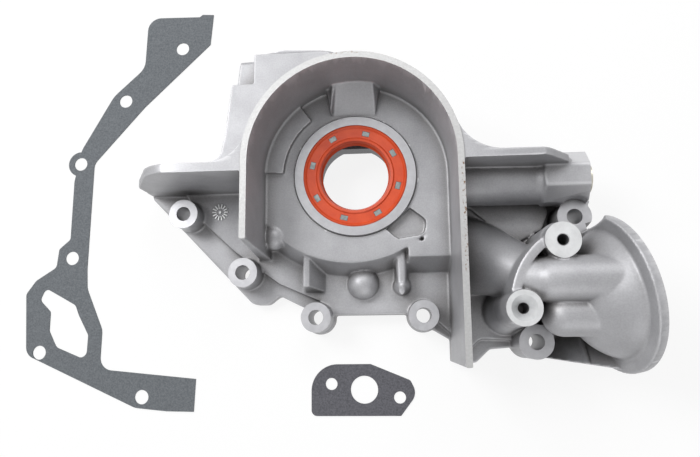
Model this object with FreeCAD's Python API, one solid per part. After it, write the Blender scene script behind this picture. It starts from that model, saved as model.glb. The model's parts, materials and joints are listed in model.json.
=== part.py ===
import FreeCAD, Part
import math
import os

# Crank-driven engine oil pump, lying on its engine-side mounting face.
# Millimetres. +Z is the crankshaft axis, pointing out of the engine, and z = 0 is the mounting face.
# +X runs towards the relief valve and the filter, +Y towards the oil pick-up.

V = FreeCAD.Vector
UP = V(0, 0, 1)
ALONG_X = V(1, 0, 0)
ALONG_Y = V(0, 1, 0)

# Crankshaft and front oil seal
shaft_r = 20.0
seal_outer_r = 31.0
seal_width = 8.0
seal_fit = 0.01
seal_face_z = 30.0
seal_ring_r = 36.2
seal_window_count = 8
seal_window_start = 30.0
seal_window_span = 10.0
seal_lip_bite = 0.2
seal_case_t = 1.0
garter_coil_r = 0.75

# Rotor pair: the inner rotor sits on the crankshaft, the outer rotor turns in the housing
inner_lobes = 9
rotor_arcs_per_lobe = 16
eccentricity = 2.9
lobe_circle_r = 39.0
lobe_r = 8.0
tip_clearance = 0.05
root_clearance = 0.12
outer_rotor_wall = 5.08
rotor_width = 11.0
rotor_running_gap = 0.06
rotor_side_gap = 0.04
drive_bore_r = 22.0
drive_flat = 20.1

# Rear cover, its screws and its locating pins
cover_offset = 1.0
cover_t = 4.0
cover_rim = 11.0
cover_edge_gap = 0.5
cover_bore_r = 23.0
cover_screw_count = 6
cover_screw_rim = 6.0
cover_screw_start = 0.0
screw_r = 2.5
screw_head_r = 4.6
screw_head_h = 2.4
screw_length = 12.0
screw_clearance = 0.25
screw_socket_r = 1.6
screw_socket_depth = 1.5
thread_gap = 0.05
pin_r = 2.5
pin_length = 9.0
pin_angles = (30.0, 210.0)

# Cast housing: levels above the mounting face
plate_t = 8.0
plateau_z = 12.0
floor_z = 28.0
rim_z = 70.0
boss_z = 25.0
high_boss_z = 35.0
pillar_z = 72.0

# Arch wall
arch_x = 0.6
arch_outer_r = 60.2
arch_wall = 3.4
outer_draft = 1.4
inner_draft = 3.0
left_leg_end = -42.3
left_leg_slope = 5.7
right_leg_end = -110.7

# Sloped floor disc inside the arch
disc_x = -3.0
disc_y = 14.0
disc_top_r = 66.0
disc_foot_r = 73.0

# Mounting bolts: x, y and the lobe radius around each
bolt_hole_r = 4.4
bolts = {
    "left": (-105.8, -19.8),
    "lower_left": (-68.5, -56.4),
    "bottom": (-24.5, -83.6),
    "bottom_right": (38.7, -83.1),
    "foot": (99.8, -98.9),
    "upper_right": (124.7, -29.1),
}
bolt_boss_r = 8.8
high_bolt_boss_r = 9.6

# Web beside the relief valve, and the bar from the upper bolt boss to the filter rim
web_z = 22.0
bar_z = 34.0
bar_y = -30.4
bar_t = 3.3

# Relief valve, along +X
relief_y = -7.5
relief_z = 35.0
relief_tube_r = 14.0
relief_boss_flat_r = 14.4
relief_boss_start = 104.0
relief_boss_end = 131.2
relief_seat_x = 68.0
relief_seat_r = 4.6
relief_bore_r = 6.5
relief_bore_end = 117.0
piston_gap = 0.02
piston_length = 20.0
piston_wall = 1.7
piston_crown = 4.0
relief_thread_r = 7.2
plug_head_r = 8.2
plug_proud = 2.8
plug_socket_r = 4.4
plug_socket_depth = 6.0
washer_t = 1.0
washer_r = 8.8
spotface_depth = 1.6
spotface_gap = 0.3
spring_wire = 1.4
spring_outer_r = 4.4
spring_turns = 9
spring_steps = 12
spring_seat_gap = 0.05

# Oil ways
port_inner_reach = 9.8
port_outer_reach = 2.8
port_depth = 3.5
suction_port_from = 98.0
suction_port_to = 258.0
discharge_port_from = -74.0
discharge_port_to = 80.0
pickup_x = -44.6
pickup_z = 17.0
pickup_bore_r = 8.3
pickup_face_y = 78.3
pickup_bore_end = 32.0
feed_hole_r = 4.0
feed_plug_gap = 0.01
feed_plug_h = 4.0
feed_plug_depth = 1.0

# Block behind the arch, and its stepped corner
block_top_z = 36.0
corner_step_x = -60.7
corner_step_y = 57.6
corner_step_z = 21.5

# Pick-up flange and its gasket
pickup_flange_w = 66.0
pickup_flange_h = 32.6
pickup_thread_r = 2.6
pickup_thread_depth = 14.0
pickup_bolts = ((-20.1, 3.5), (21.5, -4.7))
gasket_port = (32.5, 15.5)
gasket_bolt_r = 3.6
gasket_t = 0.8
gasket_lobe_r = 8.3

# Filter flange: a thin rim, dished behind, with a raised sealing land and a hub for the union
filter_centre = V(140.5, -73.3, 46.4)
filter_azimuth = 10.9
filter_dip = 12.1
filter_flange_r = 42.4
filter_flange_t = 4.8
filter_dish_r = 34.2
filter_dish_depth = 6.0
filter_land_r = 35.0
filter_land_h = 3.6
filter_step_r = 27.0
filter_step_h = 1.4
filter_hub_r = 13.0
filter_hub_back = 9.0
filter_hub_drop = 0.5
union_thread_r = 10.0
union_out_length = 17.0
union_hex_r = 12.5
union_hex_h = 4.0
union_bore_r = 6.5

# Pipes to and from the filter
inlet_start = V(103.0, -66.3, 63.0)
inlet_rise = 6.0
inlet_pipe_r = 12.0
inlet_way_r = 6.0
return_start = V(116.8, -84.5, 32.0)
return_pipe_r = 10.0
return_way_r = 4.0
knee_r = 7.5
return_foot = V(100.0, -84.5, 5.0)

# Sloped web between the foot and the filter flange
gusset_corner = V(109.0, -108.4, 12.0)
gusset_uphill = V(0.698, -0.716, 0.0)
gusset_slope = 1.13
gusset_rib_x = 127.0
gusset_rib_t = 1.6
gusset_rib_h = 1.8
bolt_head_r = 9.9

# Pillars beside the filter pipes, and the rib between them
pillar_top = (108.4, -47.1)
pillar_low = (87.4, -81.3)
pillar_r = 9.2
pillar_draft = 1.4
pillar_hole_r = 2.5
pillar_hole_depth = 20.0
pillar_cone_r = 5.8
pillar_cone_depth = 4.0
rib_drop = 1.5

# How the two loose gaskets lie beside the pump
main_gasket_turn = -92.5
main_gasket_at = V(-103.0, -7.7, 0.0)
small_gasket_at = V(-30.4, -142.6, 0.0)

# Return window in the mounting face and in its gasket: x, y, corner radius
gasket_window = [
    (66.5, -102.0, 3), (73.7, -94.2, 3), (86.0, -93.7, 4), (96.0, -88.0, 5), (103.5, -67.3, 4),
    (87.6, -67.5, 4), (75.4, -74.9, 3), (69.0, -77.8, 4), (58.5, -99.0, 3),
]


def unit(x, y):
    length = math.hypot(x, y)
    return x / length, y / length


def corner_points(before, corner, after, radius):
    """Start, middle and end of the arc that rounds one corner."""
    ax, ay = unit(before[0] - corner[0], before[1] - corner[1])
    bx, by = unit(after[0] - corner[0], after[1] - corner[1])
    half = math.acos(max(-1.0, min(1.0, ax * bx + ay * by))) / 2
    tangent = radius / math.tan(half)
    mx, my = unit(ax + bx, ay + by)
    reach = radius / math.sin(half) - radius
    start = (corner[0] + ax * tangent, corner[1] + ay * tangent)
    middle = (corner[0] + mx * reach, corner[1] + my * reach)
    end = (corner[0] + bx * tangent, corner[1] + by * tangent)
    return start, middle, end


def outline(points, z=0.0):
    """Closed wire through (x, y, corner radius) points at one height."""
    edges = []
    corners = []
    for i, point in enumerate(points):
        radius = point[2] if len(point) > 2 else 0.0
        if radius > 0:
            arc = corner_points(points[i - 1], point, points[(i + 1) % len(points)], radius)
            corners.append([V(x, y, z) for x, y in arc])
        else:
            corners.append([V(point[0], point[1], z)])
    for i, corner in enumerate(corners):
        if len(corner) == 3:
            edges.append(Part.Arc(*corner).toShape())
        following = corners[(i + 1) % len(corners)]
        if (corner[-1] - following[0]).Length > 1e-6:
            edges.append(Part.makeLine(corner[-1], following[0]))
    return Part.Wire(edges)


def prism(points, z0, z1):
    return Part.Face(outline(points, z0)).extrude(V(0, 0, z1 - z0))


def inset(points, distance):
    """The same outline, counter-clockwise, with every side moved inwards."""
    moved = []
    for i, point in enumerate(points):
        before = points[i - 1]
        after = points[(i + 1) % len(points)]
        ax, ay = unit(point[0] - before[0], point[1] - before[1])
        bx, by = unit(after[0] - point[0], after[1] - point[1])
        turn = ax * by - ay * bx
        shift = distance * math.tan(math.atan2(turn, ax * bx + ay * by) / 2)
        x = point[0] - ay * distance - ax * shift
        y = point[1] + ax * distance - ay * shift
        radius = point[2] if len(point) > 2 else 0.0
        if radius > 0:
            radius = max(0.3, radius - distance if turn > 0 else radius + distance)
        moved.append((x, y, radius))
    return moved


def tapered(points, z0, z1, narrowing):
    """A drafted prism whose outline shrinks by narrowing on its way up."""
    wires = [outline(points, z0), outline(inset(points, narrowing), z1)]
    return Part.makeLoft(wires, True, True)


def post(x, y, z0, z1, r0, r1=None):
    """A round boss, drafted when r1 is given."""
    if r1 is None:
        return Part.makeCylinder(r0, z1 - z0, V(x, y, z0))
    return Part.makeCone(r0, r1, z1 - z0, V(x, y, z0))


def rod(start, end, r0, r1=None):
    """A round bar or cone between two points."""
    axis = end - start
    if r1 is None:
        return Part.makeCylinder(r0, axis.Length, start, axis)
    return Part.makeCone(r0, r1, axis.Length, start, axis)


def turned(profile, origin, axis):
    """Revolve a closed (radius, height) profile about an axis through origin."""
    wire = Part.makePolygon([V(r, 0, h) for r, h in profile + [profile[0]]])
    solid = Part.Face(wire).revolve(V(0, 0, 0), UP, 360)
    solid.Placement = FreeCAD.Placement(origin, FreeCAD.Rotation(UP, axis))
    return solid


def sector(r0, r1, from_deg, to_deg, z0, z1, x=0.0, y=0.0):
    """Part of a flat ring between two angles."""
    wire = Part.makePolygon([V(r0, 0, z0), V(r1, 0, z0), V(r1, 0, z1), V(r0, 0, z1), V(r0, 0, z0)])
    solid = Part.Face(wire).revolve(V(0, 0, 0), UP, to_deg - from_deg)
    solid.rotate(V(0, 0, 0), UP, from_deg)
    solid.translate(V(x, y, 0))
    return solid


def polar(radius, degrees, x=0.0, y=0.0):
    angle = math.radians(degrees)
    return x + radius * math.cos(angle), y + radius * math.sin(angle)


def fuse(shapes):
    return shapes[0].fuse(shapes[1:]).removeSplitter()


def u_wire(half_width, y_end, z):
    """Outline of the arch: a half circle on two straight legs."""
    left = arch_x - half_width
    right = arch_x + half_width
    crown = Part.Arc(V(right, 0, z), V(arch_x, half_width, z), V(left, 0, z)).toShape()
    legs = [V(left, 0, z), V(left, y_end, z), V(right, y_end, z), V(right, 0, z)]
    return Part.Wire([crown] + [Part.makeLine(a, b) for a, b in zip(legs, legs[1:])])


def arch_inner_r(z):
    return arch_outer_r - arch_wall - inner_draft * (rim_z - z) / rim_z


def arch_hollow(z0, z1, y_end):
    lower = u_wire(arch_inner_r(z0), y_end, z0)
    upper = u_wire(arch_inner_r(z1), y_end, z1)
    return Part.makeLoft([lower, upper], True, True)


def plate_outline():
    shelf_y = -1.0
    return [
        (-132.0, shelf_y), (-132.0, -6.5, 2), (-65.5, -75.2, 8), (-56.0, -75.2, 4), (-49.0, -69.8, 3),
        (-34.5, -77.0, 3), (-16.0, -82.3, 3), (29.0, -82.3, 1), (57.5, -99.5, 2), (59.5, -111.0, 1),
        (69.0, -111.4, 3), (77.5, -103.5, 4), (92.0, -102.4, 2), (108.0, -108.2, 3), (132.5, -112.6, 4),
        (127.0, -75.0, 20), (131.5, -42.0, 6), (134.0, -18.0, 6), (132.6, 4.8, 2), (60.0, 4.8), (0.0, shelf_y),
    ]


def base_plate():
    lobes = []
    for name in ("lower_left", "bottom", "bottom_right", "foot", "upper_right"):
        x, y = bolts[name]
        lobes.append(post(x, y, 0, plate_t, high_bolt_boss_r + 0.6, high_bolt_boss_r))
    step = [
        (-112.0, -1.5), (-100.5, -21.5, 5), (-77.3, -43.0, 8), (-49.0, -63.5, 5), (-33.0, -70.5, 3),
        (-20.0, -76.0, 4), (34.0, -76.0, 4), (54.0, -94.0, 2), (61.0, -108.0, 1), (72.0, -98.0, 4),
        (116.0, -100.0, 6), (118.0, -60.0, 8), (122.0, -20.0, 6), (116.0, 3.0), (50.0, 3.0), (0.0, -2.0),
    ]
    return [prism(plate_outline(), 0, plate_t), tapered(step, 0, plateau_z, 1.0)] + lobes


def arch():
    """Drafted wall of the arch: the left leg ends on a slope, the right one runs on."""
    bottom = u_wire(arch_outer_r + outer_draft, right_leg_end, 0)
    wall = Part.makeLoft([bottom, u_wire(arch_outer_r, right_leg_end, rim_z)], True, True)
    wall = wall.cut(arch_hollow(-1.0, rim_z + 1, right_leg_end - 30))
    slope = left_leg_slope / (rim_z - plateau_z)
    leg_end = left_leg_end - left_leg_slope
    leg_cut = [
        V(-80, leg_end, -1), V(-80, leg_end, plateau_z), V(-80, left_leg_end + slope, rim_z + 1),
        V(-80, right_leg_end - 30, rim_z + 1), V(-80, right_leg_end - 30, -1),
    ]
    return wall.cut(Part.Face(Part.makePolygon(leg_cut + [leg_cut[0]])).extrude(V(60, 0, 0)))


def arch_floor():
    """Sloped disc that closes the arch, trimmed to the inside of the wall."""
    widening = (disc_foot_r - disc_top_r) / (floor_z - plateau_z)
    disc = post(disc_x, disc_y, 0, floor_z, disc_top_r + widening * floor_z, disc_top_r)
    return disc.common(arch_hollow(-1.0, floor_z + 1, right_leg_end))


def corner_web(side, shelf_y, fillet_r):
    """Concave fillet that carries a shelf's face round into the arch."""
    centre_y = shelf_y + fillet_r
    reach = arch_outer_r + fillet_r
    centre_x = math.sqrt(reach ** 2 - centre_y ** 2)
    end = V(arch_outer_r * centre_x / reach, arch_outer_r * centre_y / reach, 0)
    start = V(centre_x, shelf_y, 0)
    middle_angle = math.atan2(-1.0 - centre_y / reach, -centre_x / reach)
    middle = V(centre_x + fillet_r * math.cos(middle_angle), centre_y + fillet_r * math.sin(middle_angle), 0)
    inner = V(arch_outer_r - arch_wall, shelf_y, 0)
    points = [V(arch_x + side * p.x, p.y, 0) for p in (start, middle, end, inner)]
    edges = [
        Part.Arc(points[0], points[1], points[2]).toShape(),
        Part.makeLine(points[2], points[3]), Part.makeLine(points[3], points[0]),
    ]
    return Part.Face(Part.Wire(edges)).extrude(V(0, 0, rim_z))


def upright(points, y0, y1):
    """Extrude an (x, z, corner radius) outline between two y values."""
    face = Part.Face(outline(points))
    face.rotate(V(0, 0, 0), ALONG_X, 90)
    face.translate(V(0, y0, 0))
    return face.extrude(V(0, y1 - y0, 0))


def shelves():
    left = [(-132.0, 0.0), (-50.0, 0.0), (-50.0, rim_z), (-112.0, rim_z, 22), (-131.0, 34.0, 14)]
    right = [(50.0, 10.0), (119.5, 10.0), (119.5, 52.0, 4), (104.0, rim_z, 10), (50.0, rim_z)]
    return [
        upright(left, -5.0, 0.0), upright(right, -1.6, 2.6),
        corner_web(-1, 0.0, 22.0), corner_web(1, 2.6, 26.0),
    ]


def suction_block():
    """Thick block behind the arch that ends in the pick-up flange, stepped down at its outer corner."""
    block = [
        (-88.5, 0.0), (-45.0, 0.0), (-8.0, 50.0), (-12.0, pickup_face_y, 5), (-74.0, pickup_face_y, 2),
        (-76.3, 57.0, 10), (-79.9, 26.0, 20), (-82.2, 14.5, 5), (-89.5, 9.5, 3),
    ]
    face = [
        (-73.3, 2.0), (-11.0, 2.0, 3), (-11.0, 30.0, 6), (-20.0, 33.2, 3), (-43.5, 35.6, 6),
        (-60.9, 28.5, 3), (-61.5, 21.0, 1), (-73.3, 20.0, 2),
    ]
    corner = Part.makeBox(40.0, 40.0, 30.0, V(corner_step_x - 40.0, corner_step_y, corner_step_z))
    solid = tapered(block, 0, block_top_z, 2.0).cut(corner)
    return [solid, upright(face, pickup_face_y - 9.0, pickup_face_y)]


def floor_details():
    """Raised and sunk forms on the arch floor."""
    wedge = [(-19.0, 62.0), (-14.5, 36.8, 2), (13.5, 36.3, 2), (18.0, 62.0)]
    duct = sector(43.0, 56.5, 127.0, 177.0, plateau_z, floor_z + 3.0)
    dome = post(3.1, -63.7, 5, 17.0, 9.6, 8.6)
    half_boss = post(-51.1, -35.4, 5, 20.0, 6.6, 6.0)
    left_rib = prism([(-32.0, -40.0), (-32.0, -66.0, 1.2), (-29.0, -66.0, 1.2), (-29.0, -40.0)], 5, 24.0)
    right_rib = prism([(22.6, -38.0), (22.6, -71.0, 3.7), (30.1, -71.0, 3.7), (30.1, -38.0)], 5, 24.0)
    ring = post(0, 0, plateau_z, seal_face_z, seal_ring_r)
    return [tapered(wedge, plateau_z, floor_z + 6.0, 1.0), duct, dome, half_boss, left_rib, right_rib, ring]


def relief_housing():
    tube = rod(V(arch_x + 50, relief_y, relief_z), V(relief_boss_start + 2, relief_y, relief_z), relief_tube_r)
    corner_r = relief_boss_flat_r / math.cos(math.radians(22.5))
    corners = [polar(corner_r, 22.5 + 45 * k, relief_y, relief_z) for k in range(9)]
    boss = Part.Face(Part.makePolygon([V(relief_boss_start, y, z) for y, z in corners]))
    boss = boss.extrude(V(relief_boss_end - relief_boss_start, 0, 0))
    cone_end = V(relief_boss_end + 60, relief_y, relief_z)
    shoulder_r = relief_tube_r - 1.5
    shoulder = rod(V(relief_boss_start, relief_y, relief_z), cone_end, shoulder_r,
                   shoulder_r + (cone_end.x - relief_boss_start) * 0.9)
    boss = boss.common(shoulder)
    stem = Part.makeBox(relief_boss_end - 64.0, 2 * 9.0, relief_z - 1, V(60.0, relief_y - 9.0, 1))
    web = [(60.0, -18.0), (68.0, -21.0), (92.6, -42.8, 1), (109.0, -33.9, 3), (113.0, -24.0, 3), (111.0, -18.0)]
    return [tube, boss, stem, prism(web, 1, web_z)]


def filter_axis():
    azimuth = math.radians(filter_azimuth)
    dip = math.radians(filter_dip)
    return V(math.cos(dip) * math.cos(azimuth), math.cos(dip) * math.sin(azimuth), -math.sin(dip))


def along_filter(distance):
    """A point on the filter axis, counted outwards from the sealing face."""
    return filter_centre + filter_axis() * distance


def filter_disc(r, from_distance, to_distance):
    """A round slab about the filter axis between two distances from the rim's outer face."""
    return Part.makeCylinder(r, to_distance - from_distance, along_filter(from_distance), filter_axis())


def filter_housing():
    """The rim, dished behind, its sealing land and the hub for the union."""
    rim = filter_disc(filter_flange_r, -filter_flange_t, 0)
    sphere_r = (filter_dish_r ** 2 + filter_dish_depth ** 2) / (2 * filter_dish_depth)
    dish = Part.makeSphere(sphere_r, along_filter(filter_dish_depth - filter_flange_t - sphere_r))
    rim = rim.cut(dish)
    land = filter_disc(filter_land_r, -0.5, filter_land_h).cut(dish)
    step = filter_disc(filter_step_r, 1.5, filter_land_h + filter_step_h)
    hub = filter_disc(filter_hub_r, -filter_hub_back, filter_land_h)
    return [rim, land, step, hub]


def inlet_end():
    """Far end of the inlet pipe's axis, past the filter face."""
    return inlet_start + V(filter_centre.x + 20 - inlet_start.x, 0, inlet_rise)


def ducts():
    """Rising duct from the arch wall, and the two pipes that meet the filter flange."""
    fan = rod(V(46, -38, -8), V(97, -62.5, 44), 29.0, inlet_pipe_r + 2)
    keep = Part.makeBox(60, 110, 70, V(arch_x + arch_outer_r - 4, -108, 1))
    rim_front = filter_disc(200, -1, 100).cut(filter_disc(filter_land_r, -2, 101))
    beyond = filter_disc(200, filter_land_h / 2, 100).fuse(rim_front)
    inlet = rod(inlet_start, inlet_end(), inlet_pipe_r).cut(beyond)
    inlet_cap = Part.makeSphere(inlet_pipe_r, inlet_start)
    back = rod(return_start, return_start + ALONG_X * 40, return_pipe_r).cut(beyond)
    back_cap = Part.makeSphere(return_pipe_r, return_start)
    knee = rod(return_start, along_filter(1 - filter_hub_back), knee_r)
    foot = rod(return_start, return_foot, knee_r + 1)
    skirt = post(*pillar_low, 1, floor_z + 10, pillar_r + 6, pillar_r + 1)
    return [fan.common(keep), inlet, inlet_cap, back, back_cap, knee, foot, skirt]


def foot_slope(raise_by, region):
    """Solid under the sloped web, raised by raise_by, within a plan outline."""
    level = UP.cross(gusset_uphill)
    low = (gusset_corner.z + raise_by - 1) / gusset_slope
    base = V(gusset_corner.x, gusset_corner.y, 1) - level * 60
    far = gusset_uphill * 40
    top = UP * (gusset_slope * (40 + low))
    profile = [base - gusset_uphill * low, base + far, base + far + top, base - gusset_uphill * low]
    wedge = Part.Face(Part.makePolygon(profile)).extrude(level * 120)
    beyond = filter_disc(200, 0.5 - filter_flange_t, 200)
    return wedge.common(prism(region, 1, filter_centre.z)).cut(beyond)


def foot_web():
    """Web that climbs from the foot to the filter flange, with one thin rib across it."""
    field = [(102.0, -94.0), (102.0, -107.0), (109.0, -108.6), (150.0, -114.8), (150.0, -94.0)]
    left = gusset_rib_x
    right = gusset_rib_x + gusset_rib_t
    strip = [(left, -93.0), (left, -111.0), (right, -111.2), (right, -93.0)]
    return [foot_slope(0, field), foot_slope(gusset_rib_h, strip)]


def arc_rib():
    """Curved rib between the two pillars, a little lower than their faces."""
    outer = Part.Arc(V(101.0, -41.4, 5), V(89.6, -55.5, 5), V(81.7, -71.6, 5)).toShape()
    inner = Part.Arc(V(87.7, -70.8, 5), V(92.2, -58.5, 5), V(101.5, -47.3, 5)).toShape()
    points = [outer.Vertexes[1].Point, inner.Vertexes[0].Point, inner.Vertexes[1].Point, outer.Vertexes[0].Point]
    edges = [outer, Part.makeLine(points[0], points[1]), inner, Part.makeLine(points[2], points[3])]
    return Part.Face(Part.Wire(edges)).extrude(V(0, 0, pillar_z - rib_drop - 5))


def bosses():
    made = []
    for name, (x, y) in bolts.items():
        high = name in ("foot", "upper_right")
        radius = high_bolt_boss_r if high else bolt_boss_r
        top = high_boss_z if high else boss_z
        made.append(post(x, y, 0, top, radius + 0.4, radius))
    for x, y in (pillar_top, pillar_low):
        made.append(post(x, y, 1, pillar_z, pillar_r + pillar_draft, pillar_r))
    bar = Part.makeBox(filter_centre.x - bolts["upper_right"][0], bar_t, bar_z - 1,
                       V(bolts["upper_right"][0], bar_y - bar_t / 2, 1))
    made.append(bar.cut(filter_disc(200, 0.5 - filter_flange_t, 200)))
    return made


def rotor_root_r():
    """Radius of the outer rotor's valleys."""
    return lobe_circle_r - lobe_r + 2 * eccentricity + root_clearance


def outer_rotor_r():
    return rotor_root_r() + outer_rotor_wall


def cover_r():
    return outer_rotor_r() + cover_rim


def rotor_pocket():
    width = rotor_width + 2 * rotor_side_gap
    pocket = post(0, eccentricity, cover_offset + cover_t, cover_offset + cover_t + width,
                  outer_rotor_r() + rotor_running_gap)
    recess = post(0, eccentricity, -1, cover_offset + cover_t, cover_r() + cover_edge_gap)
    return [pocket, recess]


def pocket_top():
    return cover_offset + cover_t + rotor_width + 2 * rotor_side_gap


def oil_ways():
    """Kidney ports in the pocket's ceiling and the ways that lead from them."""
    top = pocket_top()
    under = top - 0.5
    low = top + 0.3
    high = top + port_depth - 0.3
    inner = lobe_circle_r - port_inner_reach
    outer = lobe_circle_r - port_outer_reach
    ports = [
        sector(inner, outer, suction_port_from, suction_port_to, under, top + port_depth),
        sector(inner, outer, discharge_port_from, discharge_port_to, under, top + port_depth),
    ]
    pickup = rod(V(pickup_x, pickup_face_y + 1, pickup_z), V(pickup_x, pickup_bore_end, pickup_z), pickup_bore_r)
    suction_link = prism([(-52.0, 34.0), (-31.0, 12.0), (-24.0, 19.0), (-37.5, 40.0)], low, high)
    discharge_link = prism([(29.5, -17.0), (41.0, -30.0), (48.0, -22.0), (35.0, -5.0)], low, high)
    turn = V(68, -44, top + 4.5)
    gallery = rod(V(44, -25, top + 4.5), turn, 4.0, 5.0)
    riser = rod(turn, inlet_start, 5.0, inlet_way_r)
    to_filter = rod(inlet_start, inlet_end(), inlet_way_r)
    relief_link = rod(V(34, relief_y, top + 3.5), V(relief_riser_x(), relief_y, top + 3.5), 3.2)
    return ports + [pickup, suction_link, discharge_link, gallery, riser, to_filter, relief_link]


def relief_riser_x():
    return relief_seat_x - 6.0


def relief_bores():
    start = V(relief_seat_x, relief_y, relief_z)
    outside = relief_boss_end + 1
    feed = rod(start - ALONG_X * 10, start + ALONG_X, relief_seat_r)
    bore = rod(start, V(outside, relief_y, relief_z), relief_bore_r + piston_gap)
    thread = rod(V(relief_bore_end, relief_y, relief_z), V(outside, relief_y, relief_z), relief_thread_r + thread_gap)
    spotface = rod(V(relief_boss_end - spotface_depth, relief_y, relief_z), V(outside, relief_y, relief_z),
                   washer_r + spotface_gap)
    riser = post(relief_riser_x(), relief_y, -1, relief_z, feed_hole_r)
    spill = post(relief_seat_x + piston_length / 2, relief_y, -1, relief_z, feed_hole_r)
    return [feed, bore, thread, spotface, riser, spill]


def hub_face():
    """Distance of the hub's face from the rim's outer face."""
    return filter_land_h + filter_step_h - filter_hub_drop


def filter_bores():
    hub_top = filter_disc(filter_hub_r + 0.2, hub_face(), filter_land_h + filter_step_h + 1)
    union = filter_disc(union_thread_r + thread_gap, -filter_hub_back, filter_land_h + 1)
    returning = rod(along_filter(0.5 - filter_hub_back), return_start, return_way_r)
    down = rod(return_start, return_foot, return_way_r)
    window = prism(inset(gasket_window, 3.0), -1, 7.0)
    return [hub_top, union, returning, down, window]


def bolt_holes():
    holes = [post(x, y, -1, high_boss_z + 1, bolt_hole_r) for x, y in bolts.values()]
    for x, y in (pillar_top, pillar_low):
        holes.append(post(x, y, pillar_z - pillar_hole_depth, pillar_z + 1, pillar_hole_r))
    x, y = pillar_low
    holes.append(post(x, y, pillar_z - pillar_cone_depth, pillar_z + 0.01, pillar_hole_r, pillar_cone_r))
    return holes


def seal_bores():
    pocket = post(0, 0, seal_face_z - seal_width, seal_face_z + 1, seal_outer_r + seal_fit)
    crank = post(0, 0, pocket_top() - 1, seal_face_z, cover_bore_r)
    return [pocket, crank]


def cover_hole_spots():
    """Centres of the cover screws, then of the locating pins."""
    step = 360.0 / cover_screw_count
    circle_r = outer_rotor_r() + cover_screw_rim
    screws = [polar(circle_r, cover_screw_start + step * k, 0, eccentricity) for k in range(cover_screw_count)]
    pins = [polar(circle_r, angle, 0, eccentricity) for angle in pin_angles]
    return screws, pins


def cover_holes():
    screws, pins = cover_hole_spots()
    seat = cover_offset + cover_t
    holes = [post(x, y, seat - 1, cover_offset + screw_length + 0.5, screw_r + thread_gap) for x, y in screws]
    holes += [post(x, y, seat - 1, cover_offset + pin_length + 0.5, pin_r + seal_fit) for x, y in pins]
    return holes


def pickup_threads():
    made = []
    for dx, dz in pickup_bolts:
        mouth = V(pickup_x - dx, pickup_face_y + 1, pickup_z + dz)
        made.append(rod(mouth, mouth - ALONG_Y * (pickup_thread_depth + 1), pickup_thread_r))
    return made


def pump_body():
    """The casting: outer forms, then the arch interior, then every machined hole."""
    outside = base_plate() + [arch()] + shelves() + suction_block() + relief_housing()
    outside += filter_housing() + ducts() + foot_web() + [arc_rib()] + bosses()
    shell = fuse(outside).cut(arch_hollow(floor_z, rim_z + 1, right_leg_end - 30))
    body = fuse([shell, arch_floor()] + floor_details())
    holes = rotor_pocket() + oil_ways() + relief_bores() + filter_bores() + bolt_holes()
    holes += seal_bores() + cover_holes() + pickup_threads() + trims()
    return body.cut(holes).removeSplitter()


def trims():
    """What the casting loses: all below the mounting face, and room for the bolt head beside the filter rim."""
    below = Part.makeBox(500, 500, 50, V(-250, -250, -50))
    x, y = bolts["upper_right"]
    bolt_head = post(x, y, high_boss_z, 120.0, bolt_head_r)
    recess = prism([(32.0, -20.0, 1), (17.5, -32.5, 1), (24.5, -38.6, 2.5), (40.5, -36.0, 4), (41.5, -27.5, 4)],
                   floor_z - 4, floor_z + 2).cut(post(0, 0, 0, rim_z, seal_ring_r))
    return [below, bolt_head, recess]


def rotor_curve_point(phi):
    """Centre of an outer lobe as the inner rotor sees it, with its direction of travel."""
    n = inner_lobes + 1
    x = lobe_circle_r * math.cos(phi) + eccentricity * math.cos(n * phi)
    y = lobe_circle_r * math.sin(phi) + eccentricity * math.sin(n * phi)
    dx = -lobe_circle_r * math.sin(phi) - n * eccentricity * math.sin(n * phi)
    dy = lobe_circle_r * math.cos(phi) + n * eccentricity * math.cos(n * phi)
    return x, y, dx, dy


def inner_rotor():
    """Inner rotor: the envelope of the outer lobes, less the tip clearance."""
    points = []
    count = inner_lobes * rotor_arcs_per_lobe * 2
    offset = lobe_r + tip_clearance
    for k in range(count + 1):
        x, y, dx, dy = rotor_curve_point(2 * math.pi * (k % count) / count)
        tx, ty = unit(dx, dy)
        points.append(V(x - ty * offset, y + tx * offset, 0))
    arcs = [Part.Arc(*points[k:k + 3]).toShape() for k in range(0, count, 2)]
    blank = Part.Face(Part.Wire(arcs)).extrude(V(0, 0, rotor_width))
    bore = Part.makeCylinder(drive_bore_r, rotor_width + 2, V(0, 0, -1))
    flats = Part.makeBox(2 * drive_flat, 3 * drive_bore_r, rotor_width + 2, V(-drive_flat, -1.5 * drive_bore_r, -1))
    rotor = blank.cut(bore.common(flats))
    rotor.rotate(V(0, 0, 0), UP, 90)
    rotor.translate(V(0, 0, cover_offset + cover_t + rotor_side_gap))
    return rotor


def outer_rotor():
    """Outer rotor: round lobes between valleys on one root circle."""
    lobes = inner_lobes + 1
    blank = Part.makeCylinder(outer_rotor_r(), rotor_width)
    hollow = Part.makeCylinder(rotor_root_r(), rotor_width + 2, V(0, 0, -1))
    for k in range(lobes):
        x, y = polar(lobe_circle_r, 360.0 * k / lobes)
        hollow = hollow.cut(Part.makeCylinder(lobe_r, rotor_width + 4, V(x, y, -2)))
    rotor = blank.cut(hollow)
    rotor.rotate(V(0, 0, 0), UP, 90)
    rotor.translate(V(0, eccentricity, cover_offset + cover_t + rotor_side_gap))
    return rotor


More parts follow.
